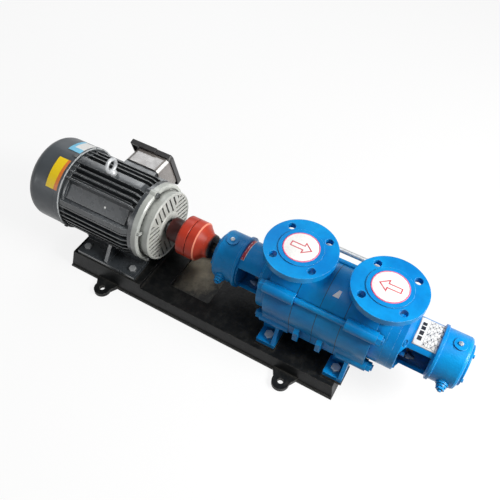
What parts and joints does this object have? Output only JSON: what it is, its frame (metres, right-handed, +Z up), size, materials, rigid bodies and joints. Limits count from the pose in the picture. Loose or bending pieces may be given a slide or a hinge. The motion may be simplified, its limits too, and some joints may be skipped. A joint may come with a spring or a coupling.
{
  "type": "multistage boiler feed pump",
  "caption": "Sectional centrifugal feed pump with upright flanged branches, claw-coupled to a finned foot motor on one hollow cast base with anchor ears.",
  "frame": {"origin": "centre of the four anchor holes, on the underside of the base", "axes": "+X along the shaft from the motor's fan to the pump's free end, +Z up, +Y towards the terminal box"},
  "size_m": [1.0952, 0.3571, 0.3115],
  "materials": {
    "base_black": "black satin paint on a rough casting",
    "motor_black": "dark grey-black satin paint",
    "shield_grey": "pale sage grey paint",
    "cowl_grey": "smooth dark grey paint",
    "pump_blue": "glossy blue enamel",
    "coupling_red": "red-orange primer",
    "bright_zinc": "bright zinc plate",
    "machined_steel": "turned steel",
    "blue_steel": "painted over with the pump",
    "bronze": "machined bronze",
    "cast_inner": "bare machined casting",
    "rubber_black": "moulded rubber",
    "packing_graphite": "braided graphited yarn",
    "laminated_steel": "stacked sheet",
    "copper_enamel": "varnished winding",
    "moulded_black": "moulded"
  },
  "bodies": {
    "standing": {"base_frame": "base_black", "motor_foot_bolts": "bright_zinc", "pump_foot_bolts": "bright_zinc", "motor_frame": "motor_black", "stator_core": "laminated_steel", "stator_windings": "copper_enamel", "drive_endshield": "shield_grey", "fan_endshield": "motor_black", "endshield_bolts": "bright_zinc", "fan_cover": "cowl_grey", "fan_cover_screws": "bright_zinc", "terminal_box": "motor_black", "terminal_box_lid": "motor_black", "terminal_lid_screws": "bright_zinc", "terminal_block": "moulded_black", "cable_gland": "moulded_black", "eyebolt": "bright_zinc", "bearing_outer_races": "machined_steel", "suction_casing": "pump_blue", "stage_casing_1": "pump_blue", "stage_casing_2": "pump_blue", "discharge_casing": "pump_blue", "diffusers": "cast_inner", "wear_rings": "bronze", "tie_rods": "blue_steel", "tie_rod_nuts": "blue_steel", "balance_ring": "bronze", "balance_cover": "pump_blue", "balance_pipe": "bright_zinc", "pipe_unions": "blue_steel", "drive_bracket": "pump_blue", "free_bracket": "pump_blue", "bracket_bolts": "blue_steel", "drive_bearing_cover": "pump_blue", "free_bearing_cover": "pump_blue", "bearing_cover_screws": "blue_steel", "packing_rings": "packing_graphite", "glands": "cast_inner", "gland_studs": "bright_zinc", "grease_nipples": "bright_zinc", "grease_plugs": "bright_zinc"},
    "motor_rotor": {"motor_shaft": "machined_steel", "motor_key": "machined_steel", "rotor_core": "laminated_steel", "cooling_fan": "moulded_black", "motor_inner_races": "machined_steel", "motor_rollers": "machined_steel", "motor_coupling_half": "coupling_red", "coupling_spider": "rubber_black"},
    "pump_rotor": {"pump_shaft": "machined_steel", "pump_key": "machined_steel", "shaft_sleeves": "machined_steel", "impeller_1": "cast_inner", "impeller_2": "cast_inner", "impeller_3": "cast_inner", "balance_disc": "machined_steel", "pump_coupling_half": "coupling_red", "pump_inner_races": "machined_steel", "pump_rollers": "machined_steel"}
  },
  "joints": [
    {"name": "pump_spin", "type": "hinge", "parent": "standing", "child": "pump_rotor", "pos_m": [0, 0, 0.165], "axis": [1, 0, 0], "continuous": true},
    {"name": "motor_spin", "type": "hinge", "parent": "standing", "child": "motor_rotor", "pos_m": [0, 0, 0.165], "axis": [1, 0, 0], "continuous": true}
  ],
  "couplings": [
    {"joint": "pump_spin", "follows": "motor_spin", "ratio": 1}
  ]
}
